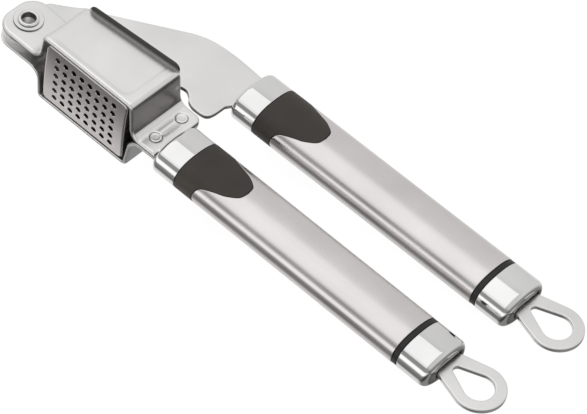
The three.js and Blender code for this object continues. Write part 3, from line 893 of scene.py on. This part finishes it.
def pivot_rivet():
    """The tubular rivet, with its ends rolled outwards over the washers."""
    seat = EAR_Z + WASHER_THICK + 2 * GAP
    roll = RIM_HEIGHT
    middle = (RIM_RADIUS + BORE_RADIUS) / 2
    half = (RIM_RADIUS - BORE_RADIUS) / 2
    upper = [(SHANK_RADIUS, 0.0), (SHANK_RADIUS, seat)]
    for angle in np.linspace(0, math.pi, RIM_STEPS + 1):
        upper.append((middle + half * math.cos(angle), seat + roll * math.sin(angle)))
    upper += [(BORE_RADIUS, BORE_BRIGHT), (BORE_RADIUS, 0.0)]
    bm = turned(upper + mirrored(upper[1:-1]))
    # painted shade: the bore is near-black steel above BORE_BRIGHT and plain satin below it
    in_bore = BORE_RADIUS + GAP / 2
    paint(bm, 1, lambda centre, normal: centre.xy.length < in_bore and centre.z > BORE_BRIGHT)
    paint(bm, 2, lambda centre, normal: centre.xy.length < in_bore and centre.z < BORE_BRIGHT)
    piece("pivot_rivet", bm, "housing", [POLISHED, DEEP_SHADE_STEEL, SATIN])


def washer(node, low):
    """A flat ring with softened edges."""
    soft = WASHER_EDGE
    high = low + WASHER_THICK
    bm = turned([
        (PIVOT_HOLE, low + soft),
        (PIVOT_HOLE + soft, low),
        (WASHER_RADIUS - soft, low),
        (WASHER_RADIUS, low + soft),
        (WASHER_RADIUS, high - soft),
        (WASHER_RADIUS - soft, high),
        (PIVOT_HOLE + soft, high),
        (PIVOT_HOLE, high - soft),
    ])
    # painted shade: a near-black line round the washer's outer rim
    paint(bm, 1, lambda centre, normal: centre.xy.length > WASHER_RADIUS - soft)
    piece(node, bm, "housing", [SATIN, DEEP_SHADE_STEEL])


def hinge():
    """The main rivet with its four washers."""
    pivot_rivet()
    seat = EAR_Z + GAP / 2
    washer("upper_pivot_washer", seat)
    washer("lower_pivot_washer", -seat - WASHER_THICK)
    kept("upper_spacer_washer", SATIN)
    kept("lower_spacer_washer", SATIN)


# ------------------------------------------------------------------ handles


def oval(back=0.0):
    """Points (y, z) of the handles' section, set back from the surface."""
    angles = np.arange(HANDLE_SIDES) * 2 * math.pi / HANDLE_SIDES
    power = 2 / HANDLE_SQUARENESS
    y = np.copysign(np.abs(np.cos(angles)) ** power, np.cos(angles))
    z = np.copysign(np.abs(np.sin(angles)) ** power, np.sin(angles))
    return np.column_stack((y * (HANDLE_HALF_Y - back), z * (HANDLE_HALF_Z - back)))


def slot_outline(half_y, half_z, shift=0.0):
    """A slot in an end face, with one point for each point of the section."""
    angles = np.arange(HANDLE_SIDES) * 2 * math.pi / HANDLE_SIDES
    y, z = np.cos(angles) / half_y, np.sin(angles) / half_z
    reach = (y**SLOT_SQUARENESS + z**SLOT_SQUARENESS) ** (-1 / SLOT_SQUARENESS)
    return np.column_stack((shift + np.cos(angles) * reach, np.sin(angles) * reach))


def tongue_edge():
    """How far the grip reaches at each point of the section."""
    curve = spline(TONGUE, TONGUE_STEPS // len(TONGUE))
    return np.interp(np.abs(oval()[:, 0]), curve[:, 0], curve[:, 1])


def section_ring(bm, x, section):
    """A ring across the handle; x is one number, or one for each point."""
    places = np.broadcast_to(x, HANDLE_SIDES)
    return add_ring(bm, [(px, y, z) for px, (y, z) in zip(places, section)])


def sleeve_mesh(start, end, sink=0.0):
    """A tube of the handle's section between two ends, with softened outer edges."""
    bm = bmesh.new()
    support = SEAM_EDGE + SIDE_BORDER
    rings = [section_ring(bm, start, oval(SKIN))]
    for back, rise in rim_steps(SEAM_EDGE):
        rings.append(section_ring(bm, start + rise, oval(sink + back)))
    rings.append(section_ring(bm, start + support, oval(sink)))
    rings.append(section_ring(bm, end - support, oval(sink)))
    for back, rise in reversed(rim_steps(SEAM_EDGE)):
        rings.append(section_ring(bm, end - rise, oval(sink + back)))
    rings.append(section_ring(bm, end, oval(SKIN)))
    join_rings(bm, rings, closed=True)
    return bm


def cup_mesh(face, open_end, edge, wall, slot):
    """A cup with a rounded closed end at x = face, a slot through that end, and an open end."""
    bm = bmesh.new()
    way = math.copysign(1.0, open_end - face)
    rings = [section_ring(bm, face + way * wall, slot)]
    rings.append(section_ring(bm, face, slot))
    for back, rise in rim_steps(edge, 2 * EDGE_STEPS):
        rings.append(section_ring(bm, face + way * rise, oval(back)))
    rings.append(section_ring(bm, face + way * (edge + SIDE_BORDER), oval()))
    for back, rise in reversed(rim_steps(SEAM_EDGE)):
        rings.append(section_ring(bm, open_end - way * rise, oval(back)))
    rings.append(section_ring(bm, open_end, oval(SKIN)))
    rings.append(section_ring(bm, face + way * wall, oval(SKIN)))
    join_rings(bm, rings, closed=True)
    return bm


def loop_mesh():
    """The tear-shaped hanging loop with its tear-shaped hole."""
    outline = np.vstack((
        [(LOOP_STEM[0], -LOOP_STEM[1]), (LOOP_ROOT[0] - CAP_WALL, -LOOP_STEM[1])],
        [(LOOP_ROOT[0], -LOOP_ROOT[1])],
        arc(LOOP_RING[0], 0, LOOP_RING[1], -LOOP_RING_WRAP, LOOP_RING_WRAP, LOOP_STEPS),
        [(LOOP_ROOT[0], LOOP_ROOT[1])],
        [(LOOP_ROOT[0] - CAP_WALL, LOOP_STEM[1]), (LOOP_STEM[0], LOOP_STEM[1])],
    ))
    around = 2 * math.pi - LOOP_HOLE_WRAP
    hole = np.vstack((
        arc(LOOP_HOLE[0], 0, LOOP_HOLE[1], LOOP_HOLE_WRAP, -LOOP_HOLE_WRAP, LOOP_STEPS),
        arc(LOOP_HOLE_TIP[0], 0, LOOP_HOLE_TIP[1], around, LOOP_HOLE_WRAP, LOOP_STEPS // 2),
    ))
    bm = plate([outline, hole], -LOOP_HALF_Z, LOOP_HALF_Z, LOOP_EDGE, LOOP_EDGE)
    bm.transform(Matrix.Translation((0, LOOP_Y, 0)))
    return bm


def handle(owner):
    """All the pieces of one handle, moved to its place."""
    place = HANDLES[owner]
    move = Matrix.Translation((place["x"], place["y"], 0)) @ Matrix.Rotation(place["toe"], 4, "Z")
    tongue = tongue_edge()
    seam = GAP / 2
    cap_slot = slot_outline(LOOP_ROOT[1] + GAP, CAP_SLOT_HALF_Z, LOOP_Y)
    cap = cup_mesh(CAP_END, RING_END + seam, CAP_EDGE, CAP_WALL, cap_slot)
    # painted shade: the cap's end faces get the dark painted-shade steel
    paint(cap, 1, lambda centre, normal: normal.x > FACING)
    ferrule = cup_mesh(0.0, FERRULE_END - seam, FERRULE_EDGE, FERRULE_WALL, slot_outline(*TANG_SLOT))
    ring = sleeve_mesh(SLEEVE_END + seam, RING_END - seam, RING_INSET)
    parts = {
        "ferrule": ("polished_steel", [POLISHED], ferrule),
        "grip": ("grip_plastic", [GRIP], sleeve_mesh(FERRULE_END + seam, tongue - seam)),
        "sleeve": ("brushed_steel", [BRUSHED], sleeve_mesh(tongue + seam, SLEEVE_END - seam)),
        "ring": ("ring_plastic", [RING], ring),
        "cap": ("polished_steel", [POLISHED, PAINTED_SHADE_STEEL], cap),
        "loop": ("satin_steel", [SATIN, SATIN], loop_mesh()),
    }
    for part, (slot, materials, bm) in parts.items():
        bm.transform(move)
        piece(f"{owner}_handle_{part}", bm, place["body"], materials)
    kept(f"{owner}_handle_core", CORE)


# ------------------------------------------------------------------ lever arm and plunger


def arm_plan():
    """The lever arm's outline, with its tang inside the handle."""
    grip = HANDLES["arm"]
    tang = grip["y"] + np.array((GAP - TANG_HALF_Y, TANG_HALF_Y - GAP))
    tang_end = grip["x"] + TANG_END - GAP
    shoulder = grip["x"] - GAP
    front, back = ARM_SHOULDER_Y
    nose = arc(PIN.x, PIN.y, NOSE_RADIUS, *NOSE_ARC)
    return np.vstack((
        arc(0, 0, ARM_BOSS, *ARM_BOSS_ARC, ARM_STEPS),
        spline([*ARM_THROAT, nose[0]]),
        nose,
        spline([nose[-1], *ARM_NOTCH, *ARM_HEEL]),
        [ARM_HEEL_END, (shoulder, front), (shoulder, tang[0]), (tang_end, tang[0])],
        [(tang_end, tang[1]), (shoulder, tang[1])],
        spline([(shoulder, back), *ARM_BACK]),
        spline(ARM_TOP),
    ))


def arm_plate():
    """The flat lever arm, which turns about the main rivet and carries the plunger's pin."""
    pivot = circle(0, 0, PIVOT_HOLE, PIVOT_SIDES)
    hole = circle(PIN.x, PIN.y, PIN_HOLE, PIN_SIDES)
    bm = plate([arm_plan(), pivot, hole], -ARM_HALF_Z, ARM_HALF_Z, ARM_EDGE, ARM_EDGE)
    # painted shade: the arm's cut edges get the dark cut-edge steel
    piece("arm_plate", bm, "arm", [SATIN, SHADED_CUT_EDGE])


def plunger_foot():
    """The flat foot that presses through the basket."""
    outline = rounded_rectangle(FOOT_X, (-FOOT_HALF_Z, FOOT_HALF_Z), FOOT_CORNER)
    bm = plate([outline], -FOOT_Y[1], -FOOT_Y[0], FOOT_EDGE, FOOT_EDGE)
    bm.transform(Matrix.Rotation(math.pi / 2, 4, "X"))
    # painted shade: the whole foot is near-black steel, dark as the inside of the basket
    piece("plunger_foot", bm, "plunger", [DEEP_SHADE_STEEL, DEEP_SHADE_STEEL])


def plunger_bracket():
    """A channel on the foot: a base between two lugs that hold the pin."""
    seat = FOOT_Y[1] + GAP / 2
    hole = circle(PIN.x, PIN.y, PIN_HOLE, PIN_SIDES)
    top = arc(PIN.x, PIN.y, LUG_RADIUS, 0, math.pi, PIN_SIDES)
    lug = np.vstack(([(BRACKET_X[0], seat), (BRACKET_X[1], seat)], top))
    low, high = LUG_Z
    upper = plate([lug, hole], low, high, BRACKET_EDGE, BRACKET_EDGE)
    lower = plate([lug, hole], -high, -low, BRACKET_EDGE, BRACKET_EDGE)
    between = rounded_rectangle(BRACKET_X, (-low - BRACKET_EDGE, low + BRACKET_EDGE), BRACKET_EDGE)
    base = plate([between], -seat - BRACKET_BASE, -seat, BRACKET_EDGE / 2, BRACKET_EDGE / 2)
    base.transform(Matrix.Rotation(math.pi / 2, 4, "X"))
    # painted shade: the bracket's cut edges get the dark cut-edge steel
    piece("plunger_bracket", merged([upper, lower, base]), "plunger", [SATIN, SHADED_CUT_EDGE])


def plunger_pin():
    """A pin with a rounded head outside each lug of the bracket."""
    seat = LUG_Z[1] + GAP / 2
    radius, height, edge = (PIN_HEAD[key] for key in ("radius", "height", "edge"))
    upper = [(PIN_RADIUS, seat), (radius, seat)]
    for back, rise in reversed(rim_steps(edge)):
        upper.append((radius - back, seat + height - rise))
    upper.append((TINY, seat + height))
    bm = turned(upper + mirrored(upper))
    bm.transform(Matrix.Translation((PIN.x, PIN.y, 0)))
    piece("plunger_pin", bm, "plunger", [POLISHED])


# ------------------------------------------------------------------ stage, light and camera

FLOOR_SIZE = 6.0
FLOOR_DROP = 0.0001
FLOOR_TONES = (0.13, 0.16)
FLOOR_GRAIN = {"scale": 400.0, "detail": 3.0}
FLOOR_ROUGH = 0.9
FLOOR_GLOW = 0.95
CAMERA = {"azimuth": 34.7178, "elevation": 50.4273, "roll": 10.4839, "distance": 1.3147, "lens": 243.57}
CAMERA_TARGET = Vector((0.001385, 0.004969, 0.0))
SENSOR = 36.0
SOFTBOX = {"place": (-0.62, -0.1, 1.0), "size": (1.4, 1.26), "radiance": 0.43}

# brightness of the studio by the angle round the x axis: 0 is overhead, 90 towards +y, -90 towards -y
PANELS = (
    (-180, 0.8), (-153, 0.8), (-139, 0.14), (-103, 0.24), (-94, 0.6), (-87, 1.15),
    (-67, 1.15), (-58, 0.3), (-42, 0.28), (-22, 0.6), (28, 0.62), (36, 0.7), (90, 0.66), (125, 0.8),
)
STUDIO_TINT = (1.0, 0.99, 0.985)

# the studio falls off towards +x, by the place x + slope * z on a sphere round the press
SHADE_RANGE = (0.3, 0.9)
SHADE_LEVELS = (1.0, 0.3)
SHADE_SLOPE = -0.8


def direction(azimuth, elevation):
    """From the press towards a place round it; azimuth 0 is in front, on the -y side."""
    a, e = math.radians(azimuth), math.radians(elevation)
    return Vector((math.sin(a) * math.cos(e), -math.cos(a) * math.cos(e), math.sin(e)))


def camera():
    """The photo's view, found from the sieve's grid, the handles and the shells."""
    data = bpy.data.cameras.new("camera")
    data.sensor_width = SENSOR
    data.lens = CAMERA["lens"]
    obj = bpy.data.objects.new("camera", data)
    bpy.context.scene.collection.objects.link(obj)
    back = direction(CAMERA["azimuth"], CAMERA["elevation"])
    level = Vector((-back.y, back.x, 0)).normalized()
    axes = Matrix((level, back.cross(level), back)).transposed().to_4x4()
    roll = Matrix.Rotation(math.radians(CAMERA["roll"]), 4, "Z")
    obj.matrix_world = Matrix.Translation(CAMERA_TARGET + back * CAMERA["distance"]) @ axes @ roll
    bpy.context.scene.camera = obj


def floor():
    """A pale floor that the lip and the handles' caps rest on."""
    lip_low, lip_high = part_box("sieve_basket")
    cap_low, cap_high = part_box("basket_handle_cap")
    lip = Vector((lip_high.x, 0, lip_low.z))
    slope = math.atan2(cap_low.z - lip.z, cap_high.x - CAP_EDGE * MM - lip.x)
    bm = bmesh.new()
    bmesh.ops.create_grid(bm, x_segments=2, y_segments=2, size=FLOOR_SIZE / 2)
    mesh = bpy.data.meshes.new("floor")
    bm.to_mesh(mesh)
    bm.free()
    nodes = Nodes(bpy.data.materials.new("floor"))
    grain = nodes.noise(**FLOOR_GRAIN)
    dark, light = (colour(tone, tone, tone) for tone in FLOOR_TONES)
    nodes.shade({
        "Base Color": nodes.blend(grain, dark, light),
        "Roughness": FLOOR_ROUGH,
        "Specular IOR Level": 0.0,
        "Emission Color": colour(1, 1, 1),
        "Emission Strength": FLOOR_GLOW,
    })
    mesh.materials.append(nodes.owner)
    obj = bpy.data.objects.new("floor", mesh)
    bpy.context.scene.collection.objects.link(obj)
    place = lip - Vector((0, 0, FLOOR_DROP))
    obj.matrix_world = Matrix.Translation(place) @ Matrix.Rotation(-slope, 4, "Y")
    obj.visible_glossy = False


def softbox():
    """One large softbox overhead, on the side of the press's head."""
    data = bpy.data.lights.new("softbox", "AREA")
    data.shape = "RECTANGLE"
    data.size, data.size_y = SOFTBOX["size"]
    data.energy = SOFTBOX["radiance"] * math.pi * data.size * data.size_y
    obj = bpy.data.objects.new("softbox", data)
    bpy.context.scene.collection.objects.link(obj)
    obj.location = SOFTBOX["place"]
    obj.visible_camera = False


def studio():
    """Long soft panels that run along x: their brightness goes by the angle round the x axis."""
    world = bpy.data.worlds.new("studio")
    bpy.context.scene.world = world
    nodes = Nodes(world)
    around = nodes.add("ShaderNodeTexCoord").outputs["Generated"]
    x, y, z = nodes.add("ShaderNodeSeparateXYZ", {"Vector": around}).outputs
    angle = nodes.math("ARCTAN2", y, z)
    share = nodes.between(angle, 0.0, 1.0, -math.pi, math.pi)
    ramp = nodes.add("ShaderNodeValToRGB", {"Fac": share})
    stops = ramp.color_ramp.elements
    while len(stops) < len(PANELS):
        stops.new(1.0)
    for stop, (degrees, level) in zip(stops, PANELS):
        stop.position = (degrees + 180) / 360
        stop.color = colour(*(tint * level for tint in STUDIO_TINT))
    away = nodes.math("MULTIPLY_ADD", z, SHADE_SLOPE, x)
    fade = nodes.between(away, *SHADE_LEVELS, *SHADE_RANGE, interpolation_type="SMOOTHSTEP")
    background = nodes.tree.nodes["Background"]
    nodes.set(background.inputs["Color"], ramp.outputs["Color"])
    nodes.set(background.inputs["Strength"], fade)


shell("upper_shell", 1)
shell("lower_shell", -1)
sieve_basket()
for where, spot in SPOT_Y.items():
    flange_rivet(f"flange_rivet_{where}", spot)
hinge()
for owner in HANDLES:
    handle(owner)
arm_plate()
plunger_foot()
plunger_bracket()
plunger_pin()
camera()
floor()
softbox()
studio()
bpy.context.scene.view_settings.view_transform = "Standard"
